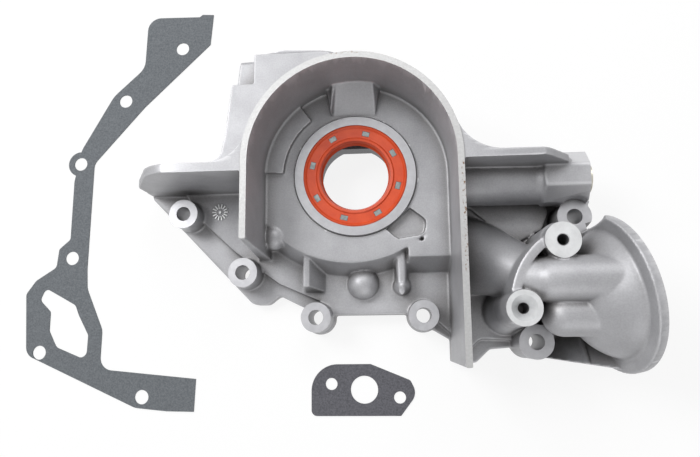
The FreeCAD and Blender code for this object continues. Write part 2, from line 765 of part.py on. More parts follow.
def rear_cover():
    plate = post(0, eccentricity, cover_offset, cover_offset + cover_t, cover_r())
    screws, pins = cover_hole_spots()
    holes = [post(0, 0, 0, cover_offset + cover_t + 1, cover_bore_r)]
    for x, y in screws:
        clear_r = screw_r + screw_clearance
        holes.append(post(x, y, 0, cover_offset + cover_t + 1, clear_r))
        holes.append(post(x, y, cover_offset - 0.01, cover_offset + screw_head_h, screw_head_r + 0.1, clear_r))
    for x, y in pins:
        holes.append(post(x, y, 0, cover_offset + cover_t + 1, pin_r + seal_fit))
    return plate.cut(holes)


def cover_screw(x, y):
    """Countersunk socket screw, head flush with the cover's outer face."""
    head = post(0, 0, 0, screw_head_h - 0.1, screw_head_r, screw_r)
    shank = post(0, 0, screw_head_h - 0.4, screw_length, screw_r)
    socket = prism([(*polar(screw_socket_r, 60 * k), 0) for k in range(6)], -1, screw_socket_depth)
    screw = fuse([head, shank]).cut(socket)
    screw.translate(V(x, y, cover_offset))
    return screw


def cover_pin(x, y):
    pin = post(x, y, cover_offset + 0.5, cover_offset + pin_length, pin_r)
    return pin.makeChamfer(0.4, [edge for edge in pin.Edges if edge.Closed and len(edge.Vertexes) == 1])


def seal_r(share):
    """A radius between the sealing lip, share 0, and the seal's outside, share 1."""
    lip_r = shaft_r - seal_lip_bite
    return lip_r + share * (seal_outer_r - lip_r)


def seal_lip():
    """Rubber body of the crankshaft seal with its sealing lip and windows."""
    face = seal_face_z
    back = seal_face_z - seal_width
    profile = [
        (seal_r(1.0), back), (seal_r(1.0), face - 0.4), (seal_r(0.93), face), (seal_r(0.9), face),
        (seal_r(0.81), face - 1.0), (seal_r(0.33), face - 1.0), (seal_r(0.26), face - 0.2),
        (seal_r(0.14), face - 0.4), (seal_r(0.07), face - 2.6), (seal_r(0.17), face - 3.6),
        (seal_r(0.0), face - 6.0), (seal_r(0.08), back + 0.6), (seal_r(0.3), back + 0.6),
        (seal_r(0.375), face - 2.6), (seal_r(0.73), face - 2.6), (seal_r(0.73), back),
    ]
    body = turned(profile, V(0, 0, 0), UP)
    windows = []
    half = seal_window_span / 2
    for k in range(seal_window_count):
        centre = seal_window_start + 360.0 / seal_window_count * k
        windows.append(sector(seal_r(0.44), seal_r(0.72), centre - half, centre + half, face - 1.5, face))
    return body.cut(windows)


def seal_case():
    """Pressed steel stiffening ring behind the rubber face."""
    back = seal_face_z - seal_width + 0.3
    front = seal_face_z - 2.7
    outer = seal_r(0.72)
    inner = seal_r(0.5)
    profile = [(outer, back), (outer, front), (inner, front), (inner, front - seal_case_t),
               (outer - seal_case_t, front - seal_case_t), (outer - seal_case_t, back)]
    return turned(profile, V(0, 0, 0), UP)


def seal_spring():
    """Garter spring round the lip, as a ring of the coil's outer size."""
    section = [polar(garter_coil_r, 60 * k, seal_r(0.46), seal_face_z - 5.4) for k in range(6)]
    return turned(section, V(0, 0, 0), UP)


def piston_outer_r():
    return relief_bore_r


def relief_piston():
    start = V(relief_seat_x, relief_y, relief_z)
    outer = rod(start, start + ALONG_X * piston_length, piston_outer_r())
    cup = rod(start + ALONG_X * piston_crown, start + ALONG_X * (piston_length + 1), piston_outer_r() - piston_wall)
    groove = turned([(relief_bore_r - 0.5, 9.0), (relief_bore_r + 1, 9.0), (relief_bore_r + 1, 10.0),
                     (relief_bore_r - 0.5, 10.0)], start, ALONG_X)
    return outer.cut([cup, groove])


def spring_span():
    start = relief_seat_x + piston_crown + spring_seat_gap
    end = relief_bore_end - spring_seat_gap
    return start, end


def relief_spring():
    """Helical spring of square-section wire, its first and last turns closed flat."""
    start, end = spring_span()
    middle_r = spring_outer_r - spring_wire / 2
    half = spring_wire / 2
    rise = end - start - spring_wire
    stations = []
    total = spring_turns * spring_steps
    for k in range(total + 1):
        share = k / total
        travel = start + half + rise * share
        angle = 2 * math.pi * k / spring_steps
        corners = []
        for dr, dx in ((-half, -half), (half, -half), (half, half), (-half, half)):
            radius = middle_r + dr
            corners.append(V(travel + dx, relief_y + radius * math.cos(angle), relief_z + radius * math.sin(angle)))
        stations.append(corners)
    faces = [Part.Face(Part.makePolygon(stations[0] + stations[0][:1]))]
    faces.append(Part.Face(Part.makePolygon(stations[-1] + stations[-1][:1])))
    for a, b in zip(stations, stations[1:]):
        for i in range(4):
            j = (i + 1) % 4
            faces.append(Part.Face(Part.makePolygon([a[i], a[j], b[j], a[i]])))
            faces.append(Part.Face(Part.makePolygon([a[i], b[j], b[i], a[i]])))
    solid = Part.Solid(Part.Shell(faces))
    if solid.Volume < 0:
        solid.reverse()
    return solid


def washer_start():
    return relief_boss_end - spotface_depth


def relief_plug():
    """Threaded plug with a hexagon socket that holds the relief spring in."""
    face = washer_start() + washer_t
    tip = relief_boss_end + plug_proud
    shank = rod(V(relief_bore_end, relief_y, relief_z), V(face + 0.5, relief_y, relief_z), relief_thread_r)
    head = rod(V(face, relief_y, relief_z), V(tip, relief_y, relief_z), plug_head_r)
    corners = [polar(plug_socket_r, 60 * k, relief_y, relief_z) for k in range(7)]
    socket = Part.Face(Part.makePolygon([V(tip - plug_socket_depth, y, z) for y, z in corners]))
    return fuse([shank, head]).cut(socket.extrude(V(plug_socket_depth + 1, 0, 0)))


def plug_washer():
    start = V(washer_start(), relief_y, relief_z)
    ring = rod(start, start + ALONG_X * washer_t, washer_r)
    return ring.cut(rod(start - ALONG_X, start + ALONG_X * 3, relief_thread_r + 0.1))


def feed_plug():
    """Press-in plug that closes the drilled riser under the relief valve."""
    x = relief_riser_x()
    plug = post(x, relief_y, feed_plug_depth, feed_plug_depth + feed_plug_h, feed_hole_r - feed_plug_gap)
    return plug.cut(post(x, relief_y, 0, feed_plug_depth + feed_plug_h - 1.2, feed_hole_r - 1.2))


def filter_union():
    """Threaded union that the oil filter screws on to."""
    back = 0.5 - filter_hub_back
    inner = filter_disc(union_thread_r, back, hub_face())
    outer = filter_disc(union_thread_r, hub_face(), union_out_length)
    corners = [V(*polar(union_hex_r, 60 * k), 0) for k in range(7)]
    hexagon = Part.Face(Part.makePolygon(corners)).extrude(V(0, 0, union_hex_h))
    hexagon.Placement = FreeCAD.Placement(along_filter(hub_face()), FreeCAD.Rotation(UP, filter_axis()))
    return fuse([inner, outer, hexagon]).cut(filter_disc(union_bore_r, back - 1, union_out_length + 1))


def mounting_gasket():
    """Main gasket, drawn on the pump's bolt pattern and then laid beside it."""
    points = [
        (-130.3, 0.1), (-130.5, -7.6), (-128.8, -9.5), (-128.1, -45.3, 9), (-92.0, -45.0, 12), (-71.9, -64.9, 20),
        (-34.3, -83.8, 12), (-12.7, -86.9, 10), (26.4, -85.6, 3), (33.0, -92.5, 3), (45.0, -93.2, 4),
        (54.0, -106.0, 6), (62.9, -111.8, 4), (101.5, -107.5, 8), (131.4, -32.8, 12), (132.6, -12.4), (132.2, 4.8),
        (112.3, 4.8), (108.7, -58.0, 8), (84.2, -58.6, 10), (58.2, -71.1, 14), (45.5, -72.4, 20),
        (-24.9, -74.3, 8), (-64.4, -42.9, 10), (-108.9, -0.8),
    ]
    x, y = bolts["bottom"]
    sheet = fuse([prism(points, 0, gasket_t), post(x, y, 0, gasket_t, gasket_lobe_r)])
    holes = [post(x, y, -1, gasket_t + 1, bolt_hole_r) for x, y in bolts.values()]
    sheet = sheet.cut(holes + [prism(gasket_window, -1, gasket_t + 1)])
    sheet.rotate(V(0, 0, 0), UP, main_gasket_turn)
    sheet.translate(main_gasket_at)
    return sheet


def pickup_gasket():
    width = pickup_flange_w - 1.5
    height = pickup_flange_h - 1.8
    sheet = prism([(0, 0, 3.5), (54.5, 0, 1), (width, 13.0, 8), (width - 4, 21.0, 3), (36.5, height, 1),
                   (0, height, 16)], 0, gasket_t)
    x, y = gasket_port
    holes = [post(x, y, -1, gasket_t + 1, pickup_bore_r)]
    holes += [post(x + dx, y + dy, -1, gasket_t + 1, gasket_bolt_r) for dx, dy in pickup_bolts]
    sheet = sheet.cut(holes)
    sheet.translate(small_gasket_at)
    return sheet


def build():
    screws, pins = cover_hole_spots()
    nodes = {
        "pump_body": pump_body(),
        "rear_cover": rear_cover(),
        "outer_rotor": outer_rotor(),
        "inner_rotor": inner_rotor(),
        "crank_seal": seal_lip(),
        "seal_steel_ring": seal_case(),
        "seal_garter_spring": seal_spring(),
        "relief_piston": relief_piston(),
        "relief_spring": relief_spring(),
        "relief_plug": relief_plug(),
        "plug_washer": plug_washer(),
        "gallery_plug": feed_plug(),
        "filter_union": filter_union(),
        "mounting_gasket": mounting_gasket(),
        "pickup_gasket": pickup_gasket(),
    }
    for k, (x, y) in enumerate(screws):
        nodes[f"cover_screw_{k + 1}"] = cover_screw(x, y)
    for k, (x, y) in enumerate(pins):
        nodes[f"cover_pin_{k + 1}"] = cover_pin(x, y)
    return nodes


os.makedirs("parts", exist_ok=True)
for name, shape in build().items():
    shape.exportStep(os.path.join("parts", f"{name}.step"))
    box = shape.BoundBox
    print(name, len(shape.Solids), shape.isValid(), round(shape.Volume), [round(v, 1) for v in (
        box.XMin, box.XMax, box.YMin, box.YMax, box.ZMin, box.ZMax)])
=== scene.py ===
# %% [markdown]
# # A crank-driven engine oil pump
#
# The real object is one large aluminium casting with a few turned and ground steel pieces in it,
# an orange crankshaft seal, and two loose fibre gaskets beside it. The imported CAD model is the
# frame: it already has every piece in its place, in metres, so this lesson only adds what CAD
# leaves out, which is the soft skin of a casting, crisp machined faces, and materials.

# %% Load the frame
import json
import math

import bmesh
import bpy
from mathutils import Euler, Matrix, Vector


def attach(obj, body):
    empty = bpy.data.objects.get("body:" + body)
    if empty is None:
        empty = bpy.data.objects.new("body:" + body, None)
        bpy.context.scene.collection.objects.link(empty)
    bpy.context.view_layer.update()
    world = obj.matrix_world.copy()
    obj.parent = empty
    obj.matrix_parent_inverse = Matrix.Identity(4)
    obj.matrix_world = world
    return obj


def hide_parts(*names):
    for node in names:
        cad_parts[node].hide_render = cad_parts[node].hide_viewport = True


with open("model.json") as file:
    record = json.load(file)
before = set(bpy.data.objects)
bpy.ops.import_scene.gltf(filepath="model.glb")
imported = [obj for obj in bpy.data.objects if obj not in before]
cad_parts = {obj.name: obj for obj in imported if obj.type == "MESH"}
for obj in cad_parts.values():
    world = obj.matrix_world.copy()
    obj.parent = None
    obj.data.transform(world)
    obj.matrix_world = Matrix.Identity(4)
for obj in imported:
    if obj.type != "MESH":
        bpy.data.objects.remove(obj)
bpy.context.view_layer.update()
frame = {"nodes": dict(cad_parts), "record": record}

nodes = frame["nodes"]
print("nodes in the frame:", len(nodes))

# %% [markdown]
# ## Millimetres, hex colours and node trees
#
# Drawings of engine parts are in millimetres, and Blender's unit is the metre, so one function
# turns a point over. Colours are written as on a web page. Those numbers are stored with a
# curve, and shaders need linear light, so one function straightens them.

# %% Small helpers
def at(x, y, z=0.0):
    return Vector((x, y, z)) / 1000


def linear(text):
    shares = [int(text[i:i + 2], 16) / 255 for i in (1, 3, 5)]
    return tuple(c / 12.92 if c <= 0.04045 else ((c + 0.055) / 1.055) ** 2.4 for c in shares) + (1.0,)


def per_mm(size):
    """Texture scale that makes one repeat as long as size, in millimetres."""
    return 1000.0 / size


def set_stops(elements, stops):
    """Fill a colour ramp from (position, hex) stops."""
    while len(elements) < len(stops):
        elements.new(0.5)
    for element, (position, colour) in zip(elements, stops):
        element.position = position
        element.color = linear(colour)


def add(tree, kind, settings=None, links=None):
    """One node, with its settings and what feeds it.

    An input goes by its name or its number. What feeds it is a socket, or a node, of which the
    first output is then taken.
    """
    node = tree.nodes.new(kind)
    for name, value in (settings or {}).items():
        if name == "stops":
            set_stops(node.color_ramp.elements, value)
        elif isinstance(name, int) or name in node.inputs:
            node.inputs[name].default_value = value
        else:
            setattr(node, name, value)
    for name, source in (links or {}).items():
        socket = source.outputs[0] if isinstance(source, bpy.types.Node) else source
        tree.links.new(socket, node.inputs[name])
    return node


def new_material(name):
    material = bpy.data.materials.new(name)
    material.use_nodes = True
    tree = material.node_tree
    tree.nodes.clear()
    where = add(tree, "ShaderNodeTexCoord").outputs["Object"]
    return material, tree, where


print("one millimetre in metres:", round(at(1, 0).x, 6))

# Numbers of a colour mix's sockets: what lies below, what lies above, and the result
below, above, mixed_colour = 6, 7, 2

# %% [markdown]
# ## Cast and shot-blasted aluminium
#
# The housing is cast, then blasted with fine shot, which leaves a dull, even, silver-grey skin.
# The eye reads three scales at once: grit of about half a millimetre, faint clouds a few
# centimetres wide, and a brownish darkening in the hollows, which is partly residue and
# partly painted shade. The grit is drawn a little coarser than it is so that it shows.
# Ambient Occlusion finds the hollows.

# %% Cast aluminium
def cast_aluminium():
    material, tree, where = new_material("shot_blasted_cast_aluminium")
    noise = {"Detail": 3.0, "Roughness": 0.6}
    patches = add(tree, "ShaderNodeTexNoise", {**noise, "Scale": per_mm(28.0)}, {"Vector": where})
    clouds = add(tree, "ShaderNodeValToRGB", {"stops": [(0.3, "#9B9B9E"), (0.7, "#ADADB0")]}, {"Fac": patches})
    shot = add(tree, "ShaderNodeTexNoise", {**noise, "Scale": per_mm(0.9), "Detail": 2.0}, {"Vector": where})
    speckle = add(tree, "ShaderNodeValToRGB", {"stops": [(0.35, "#8E8E90"), (0.65, "#FFFFFF")]}, {"Fac": shot})
    skin = add(tree, "ShaderNodeMix", {"data_type": "RGBA", "blend_type": "MULTIPLY", "Factor": 0.15},
               {below: clouds, above: speckle})
    # Painted shade: Ambient Occlusion darkens the hollows towards brown, partly residue and partly the shade that
    # falls there
    hollow = add(tree, "ShaderNodeAmbientOcclusion", {"Distance": 0.014, "samples": 8})
    residue_and_painted_shade = add(tree, "ShaderNodeValToRGB", {"stops": [(0.15, "#58534D"), (0.6, "#CFCDCA"), (0.85, "#FFFFFF")]},
               {"Fac": hollow.outputs["AO"]})
    stained_and_shaded = add(tree, "ShaderNodeMix", {"data_type": "RGBA", "blend_type": "MULTIPLY", "Factor": 0.8},
                  {below: skin.outputs[mixed_colour], above: residue_and_painted_shade})
    # Sharp convex edges are drawn lighter, up to half way towards a near white
    crest = add(tree, "ShaderNodeNewGeometry").outputs["Pointiness"]
    sharp_edge_share = add(tree, "ShaderNodeMapRange", {"From Min": 0.51, "From Max": 0.58, "To Min": 0.0, "To Max": 0.5},
               {"Value": crest})
    edged = add(tree, "ShaderNodeMix", {"data_type": "RGBA", above: linear("#E6E6E8")},
                {"Factor": sharp_edge_share, below: stained_and_shaded.outputs[mixed_colour]})
    grit = add(tree, "ShaderNodeTexNoise", {**noise, "Scale": per_mm(0.7), "Roughness": 0.7}, {"Vector": where})
    bump = add(tree, "ShaderNodeBump", {"Strength": 0.18, "Distance": 0.00022}, {"Height": grit})
    shader = add(tree, "ShaderNodeBsdfPrincipled", {"Metallic": 0.35, "Roughness": 0.45},
                 {"Base Color": edged.outputs[mixed_colour], "Normal": bump})
    add(tree, "ShaderNodeOutputMaterial", links={"Surface": shader})
    return material


cast_skin = cast_aluminium()
print("made", cast_skin.name)

# %% [markdown]
# ## Machined aluminium
#
# Where a bolt head, a gasket or a seal sits, a cutter has taken the skin off. A face mill leaves
# fine straight arcs, and a lathe leaves rings about the crankshaft axis, which here is the
# object's own Z axis, so rings on Object coordinates fall where the tool ran. Both faces are
# smoother than the casting, and the tops of the two pillars, cut with a fly cutter, are brighter.
# Real marks lie some tenths of a millimetre apart, too fine to show, so they are drawn about
# 5 mm apart.

# %% Milled and turned faces
def machined(name, pattern, colour, light, roughness):
    material, tree, where = new_material(name)
    # A wave texture packs 20 radians into one unit, and a repeat of 2 pi times 0.8 mm is 5 mm
    marks = add(tree, "ShaderNodeTexWave", {"wave_type": pattern, "Scale": per_mm(0.8) / 20, "Distortion": 0.6,
                                            "Detail": 2.0}, {"Vector": where})
    if pattern == "RINGS":
        marks.rings_direction = "Z"
    clouds = add(tree, "ShaderNodeTexNoise", {"Scale": per_mm(6.0), "Detail": 4.0, "Roughness": 0.6},
                 {"Vector": where})
    tone = add(tree, "ShaderNodeValToRGB", {"stops": [(0.3, colour), (0.7, light)]}, {"Fac": clouds})
    # Painted shade: Ambient Occlusion darkens the corners and the feet of walls on these faces
    hollow = add(tree, "ShaderNodeAmbientOcclusion", {"Distance": 0.005, "samples": 8})
    painted_shade_ramp = add(tree, "ShaderNodeValToRGB", {"stops": [(0.3, "#77746F"), (0.8, "#FFFFFF")]},
               {"Fac": hollow.outputs["AO"]})
    shaded = add(tree, "ShaderNodeMix", {"data_type": "RGBA", "blend_type": "MULTIPLY", "Factor": 1.0},
                 {below: tone, above: painted_shade_ramp})
    bump = add(tree, "ShaderNodeBump", {"Strength": 0.12, "Distance": 0.0001}, {"Height": marks.outputs["Fac"]})
    shader = add(tree, "ShaderNodeBsdfPrincipled", {"Metallic": 0.7, "Roughness": roughness},
                 {"Base Color": shaded.outputs[mixed_colour], "Normal": bump})
    add(tree, "ShaderNodeOutputMaterial", links={"Surface": shader})
    return material


pillar_face = machined("fly_cut_aluminium", "BANDS", "#C4C5C6", "#D6D7D8", 0.36)
milled_face = machined("milled_aluminium", "BANDS", "#A3A3A6", "#B2B2B5", 0.4)
turned_face = machined("turned_aluminium", "RINGS", "#98989B", "#A6A6A9", 0.42)
print("made", pillar_face.name, milled_face.name, turned_face.name)

# %% [markdown]
# ## The rim with traces of sealant
#
# The rim of the arch was milled and has carried a bead of sealant. Rusty brown flecks of it are
# left, a millimetre or so wide, on the right leg and at the crown. Windows on the object's own X
# and Y say where, a noise makes the flecks, and their product is the cover.

# %% Rim material
def window(tree, value, low, high):
    """1 between low and high millimetres, 0 outside. Node values are in metres."""
    over = add(tree, "ShaderNodeMath", {"operation": "GREATER_THAN", 1: low / 1000}, {0: value})
    under = add(tree, "ShaderNodeMath", {"operation": "LESS_THAN", 1: high / 1000}, {0: value})
    return add(tree, "ShaderNodeMath", {"operation": "MULTIPLY"}, {0: over, 1: under})


def patch(tree, place, x_range, y_range):
    """1 inside a rectangle given by its two ranges in millimetres, 0 outside."""
    inside = {0: window(tree, place["X"], *x_range), 1: window(tree, place["Y"], *y_range)}
    return add(tree, "ShaderNodeMath", {"operation": "MULTIPLY"}, inside)


def sealant_rim():
    material, tree, where = new_material("milled_aluminium_with_sealant")
    place = add(tree, "ShaderNodeSeparateXYZ", links={"Vector": where}).outputs
    right_leg = patch(tree, place, (59.0, 60.9), (-62.0, -4.0))
    crown = patch(tree, place, (-45.0, 12.0), (59.0, 70.0))
    either = add(tree, "ShaderNodeMath", {"operation": "MAXIMUM"}, {0: right_leg, 1: crown})
    noise = {"Detail": 3.0, "Roughness": 0.6}
    crumbs = add(tree, "ShaderNodeTexNoise", {**noise, "Scale": per_mm(1.7)}, {"Vector": where})
    flecks = add(tree, "ShaderNodeValToRGB", {"stops": [(0.55, "#000000"), (0.66, "#FFFFFF")]}, {"Fac": crumbs})
    cover = add(tree, "ShaderNodeMath", {"operation": "MULTIPLY"}, {0: either, 1: flecks})
    mottle = add(tree, "ShaderNodeTexNoise", {**noise, "Scale": per_mm(1.4)}, {"Vector": where})
    bare = add(tree, "ShaderNodeValToRGB", {"stops": [(0.3, "#A6A6A6"), (0.7, "#B2B2B2")]}, {"Fac": mottle})
    colour = add(tree, "ShaderNodeMix", {"data_type": "RGBA", above: linear("#6F5540")},
                 {"Factor": cover, below: bare})
    scars = add(tree, "ShaderNodeTexNoise", {**noise, "Scale": per_mm(1.6)}, {"Vector": where})
    rough = add(tree, "ShaderNodeBump", {"Strength": 0.3, "Distance": 0.0003}, {"Height": scars})
    shader = add(tree, "ShaderNodeBsdfPrincipled", {"Metallic": 0.5, "Roughness": 0.45},
                 {"Base Color": colour.outputs[mixed_colour], "Normal": rough})
    add(tree, "ShaderNodeOutputMaterial", links={"Surface": shader})
    return material


rim_face = sealant_rim()
print("made", rim_face.name)

# %% [markdown]
# ## Rubber, steel, copper and fibre
#
# The seal is moulded fluorocarbon rubber, dyed orange-red and slightly satin. The rotors are
# sintered steel, with fine dark pores. Screws are blackened, the plug and the union are
# zinc-plated, the washer is annealed copper. The gaskets are pressed fibre sheet: grey with a
# felt of lighter and darker fibres, quite dull.

# %% Rubber
def moulded_rubber():
    material, tree, where = new_material("moulded_fluorocarbon_rubber")
    noise = {"Detail": 4.0, "Roughness": 0.6}
    clouds = add(tree, "ShaderNodeTexNoise", {**noise, "Scale": per_mm(9.0)}, {"Vector": where})
    tone = add(tree, "ShaderNodeValToRGB", {"stops": [(0.3, "#C2401A"), (0.7, "#D24F25")]}, {"Fac": clouds})
    satin = add(tree, "ShaderNodeTexNoise", {**noise, "Scale": per_mm(0.6)}, {"Vector": where})
    bump = add(tree, "ShaderNodeBump", {"Strength": 0.15, "Distance": 0.0001}, {"Height": satin})
    shader = add(tree, "ShaderNodeBsdfPrincipled", {"Roughness": 0.42, "IOR": 1.45},
                 {"Base Color": tone, "Normal": bump})
    add(tree, "ShaderNodeOutputMaterial", links={"Surface": shader})
    return material


rubber = moulded_rubber()
print("made", rubber.name)

# %% [markdown]
# The metals differ in colour, in the width of their faint clouds and in gloss, and share the
# rest, so one function makes them all.

# %% Steel and copper
def metal(name, dark, light, size, roughness, bump_depth=0.0001):
    material, tree, where = new_material(name)
    clouds = add(tree, "ShaderNodeTexNoise", {"Scale": per_mm(size), "Detail": 5.0, "Roughness": 0.6},
                 {"Vector": where})
    tone = add(tree, "ShaderNodeValToRGB", {"stops": [(0.35, dark), (0.65, light)]}, {"Fac": clouds})
    pores = add(tree, "ShaderNodeTexNoise", {"Scale": per_mm(0.6), "Detail": 3.0, "Roughness": 0.6},
                {"Vector": where})
    bump = add(tree, "ShaderNodeBump", {"Strength": 0.15, "Distance": bump_depth}, {"Height": pores})
    shader = add(tree, "ShaderNodeBsdfPrincipled", {"Metallic": 1.0, "Roughness": roughness},
                 {"Base Color": tone, "Normal": bump})
    add(tree, "ShaderNodeOutputMaterial", links={"Surface": shader})
    return material


zinc = metal("zinc_plated_steel", "#A9A599", "#BFBCB1", 5.0, 0.34)
black_steel = metal("black_oxide_steel", "#242426", "#343437", 3.0, 0.4)
sintered = metal("sintered_steel", "#5A5A5C", "#77777A", 0.8, 0.45, 0.0002)
ground = metal("ground_steel", "#98989B", "#AEAEB1", 7.0, 0.28)
spring_wire = metal("oiled_spring_steel", "#5E5E62", "#7C7C80", 4.0, 0.3)
copper = metal("annealed_copper", "#A8623C", "#C07A50", 3.0, 0.35)
pressed_steel = metal("pressed_steel", "#686E6E", "#818787", 3.0, 0.45)
print("metals from", zinc.name, "to", pressed_steel.name)

# %% [markdown]
# The same noise colours the felt of a gasket and raises it, so that light fibres stand up.

# %% Fibre
def fibre_sheet(name, dark, light):
    material, tree, where = new_material(name)
    felt = add(tree, "ShaderNodeTexNoise", {"Scale": per_mm(1.1), "Detail": 6.0, "Roughness": 0.75},
               {"Vector": where})
    tone = add(tree, "ShaderNodeValToRGB", {"stops": [(0.32, dark), (0.68, light)]}, {"Fac": felt})
    bump = add(tree, "ShaderNodeBump", {"Strength": 0.35, "Distance": 0.0002}, {"Height": felt})
    shader = add(tree, "ShaderNodeBsdfPrincipled", {"Roughness": 0.85, "IOR": 1.4},
                 {"Base Color": tone, "Normal": bump})
    add(tree, "ShaderNodeOutputMaterial", links={"Surface": shader})
    return material


grey_fibre = fibre_sheet("grey_fibre_sheet", "#54585C", "#767A7E")
dark_fibre = fibre_sheet("dark_fibre_sheet", "#47474C", "#6B6B71")
print("made", grey_fibre.name, "and", dark_fibre.name)

# %% [markdown]
# A dictionary says which CAD node gets which finish. The screws and pins are many and alike, so
# they are told apart by how their names start.

# %% Give the CAD nodes their finishes
finishes = {
    "rear_cover": ground, "outer_rotor": sintered, "inner_rotor": sintered, "seal_steel_ring": ground,
    "seal_garter_spring": spring_wire, "relief_piston": ground, "relief_spring": spring_wire,
    "relief_plug": zinc, "plug_washer": copper, "gallery_plug": zinc, "filter_union": zinc, "mounting_gasket": grey_fibre,
    "pickup_gasket": dark_fibre, "crank_seal": rubber, "pump_body": cast_skin,
}
for name, node in nodes.items():
    finish = finishes.get(name) or (ground if name.startswith("cover_pin") else black_steel)
    node.data.materials.clear()
    node.data.materials.append(finish)
print("finished nodes:", len(nodes))

# %% [markdown]
# ## From casting to machined part
#
# A foundry pours the housing a little too long wherever a flat face is wanted, and the machine
# shop cuts that allowance off. The same order works here. The CAD node has sharp edges all over,
# so a copy of it gets the allowance, a voxel remesh and a smooth soften its edges as draft and
# mould wear do, and then Booleans cut the faces and bores, which leaves those edges crisp.
# First come the places of the machined faces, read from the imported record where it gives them.

# %% Where the cutters go
# Millimetres. A height on the filter head counts outwards from the outer face of its rim.
allowance = 2.0
rim_height, floor_z, plateau_z = 70.0, 28.0, 12.0
seal_face, seal_ring_r = 30.0, 36.25
pickup_face = 78.3
boss_end, relief_axis = 131.2, (-7.5, 35.0)
rotor_centre = (0.0, 2.9)
rim_r = 42.4
land_height, land_r = 3.6, 35.0
step_height, step_r = 5.0, 27.0
hub_height, hub_r = 4.5, 13.2
thread_mid = 12.75
low_boss_top, high_boss_top, pillar_top = 25.0, 35.0, 72.0
low_boss_r, high_boss_r, pillar_r = 8.8, 9.6, 9.2
pillar_spots = [(108.4, -47.1), (87.4, -81.3)]

mounts = {mount["name"]: mount for mount in frame["record"]["mounts"]}
boss_faces = []
for name, mount in mounts.items():
    if name.startswith("bolt_"):
        x, y, z = [1000 * value for value in mount["pos_m"]]
        top = mount["dims"]["length_mm"]
        boss_faces.append((x, y, top, high_boss_r if top == high_boss_top else low_boss_r))
boss_faces += [(x, y, pillar_top, pillar_r) for x, y in pillar_spots]
filter_axis = Vector(mounts["filter_face"]["axis"]).normalized()
filter_centre = Vector(mounts["filter_thread"]["pos_m"]) - filter_axis * (thread_mid / 1000)
print("boss tops:", sorted({top for x, y, top, radius in boss_faces}))
print("bolt faces:", len(boss_faces), "filter face centre:", [round(v, 4) for v in filter_centre])

# %% [markdown]
# A copy of a CAD node is loose triangles, so its doubles are merged first. Then the faces that
# will be machined are pushed out by the allowance: everything near a plane moves along its normal.

# %% Add the allowance
def copy_of(name):
    bm = bmesh.new()
    bm.from_mesh(nodes[name].data)
    bmesh.ops.remove_doubles(bm, verts=bm.verts, dist=2e-6)
    return bm


def push(bm, near, offset):
    verts = [v for v in bm.verts if near(v.co * 1000)]
    bmesh.ops.translate(bm, vec=Vector(offset) / 1000, verts=verts)
    return len(verts)


def flat(a, b):
    return abs(a - b) < 0.02


def on_filter(co):
    """Distance along the filter axis and from it, in millimetres."""
    away = co - filter_centre * 1000
    along = away.dot(filter_axis)
    return along, (away - filter_axis * along).length


casting = copy_of("pump_body")
print("casting before:", len(casting.verts), "points")
moved = push(casting, lambda co: flat(co.z, 0), (0, 0, -allowance))
moved += push(casting, lambda co: flat(co.z, rim_height) and (co.x < 62.4 or co.y > -3), (0, 0, allowance))
moved += push(casting, lambda co: flat(co.z, seal_face) and co.xy.length < seal_ring_r + 0.1,
              (0, 0, allowance))
moved += push(casting, lambda co: flat(co.x, boss_end), (allowance, 0, 0))
moved += push(casting, lambda co: flat(co.y, pickup_face), (0, allowance, 0))
for x, y, top, radius in boss_faces:
    moved += push(casting, lambda co: flat(co.z, top) and (co.xy - Vector((x, y))).length < radius + 0.2,
                  (0, 0, allowance))
outward = filter_axis * allowance
filter_planes = [(0.0, rim_r), (land_height, land_r), (step_height, step_r), (hub_height, hub_r)]
for height, radius in filter_planes:
    moved += push(casting, lambda co: flat(on_filter(co)[0], height) and on_filter(co)[1] < radius + 0.3, outward)
print("points moved out by the allowance:", moved)

# %% [markdown]
# Cylinders, blocks and balls fill the casting out, and cylinders and blocks also cut it later, so
# each has one function that takes millimetres.

# %% Shapes for filling and cutting
def add_round(bm, start, end, radius, radius_end=None, segments=128):
    """A closed cylinder or cone between two points in millimetres."""
    start, end = Vector(start) / 1000, Vector(end) / 1000
    axis = end - start
    turn = axis.to_track_quat("Z", "Y").to_matrix().to_4x4()
    place = Matrix.Translation((start + end) / 2) @ turn
    second = radius if radius_end is None else radius_end
    bmesh.ops.create_cone(bm, cap_ends=True, segments=segments, radius1=radius / 1000, radius2=second / 1000,
                          depth=axis.length, matrix=place)


def add_block(bm, low, high):
    low, high = Vector(low) / 1000, Vector(high) / 1000
    place = Matrix.Translation((low + high) / 2) @ Matrix.Diagonal((*(high - low), 1.0))
    bmesh.ops.create_cube(bm, size=1.0, matrix=place)


def add_ball(bm, centre, radius, height=None):
    """A ball, or an egg when its height above the centre is given."""
    size = Vector((radius, radius, height or radius)) / 1000
    place = Matrix.Translation(Vector(centre) / 1000) @ Matrix.Diagonal((*size, 1.0))
    bmesh.ops.create_uvsphere(bm, u_segments=64, v_segments=32, radius=1.0, matrix=place)


def filter_point(along):
    return (filter_centre + filter_axis * along / 1000) * 1000


# %% [markdown]
# Two forms are made by moving points of the copy. Left of its octagonal end the relief boss is a
# little lower, with a chamfer between. And the keystone under the arch, a flat block in the CAD
# model, becomes a ramp that rises from the seal towards the wall.

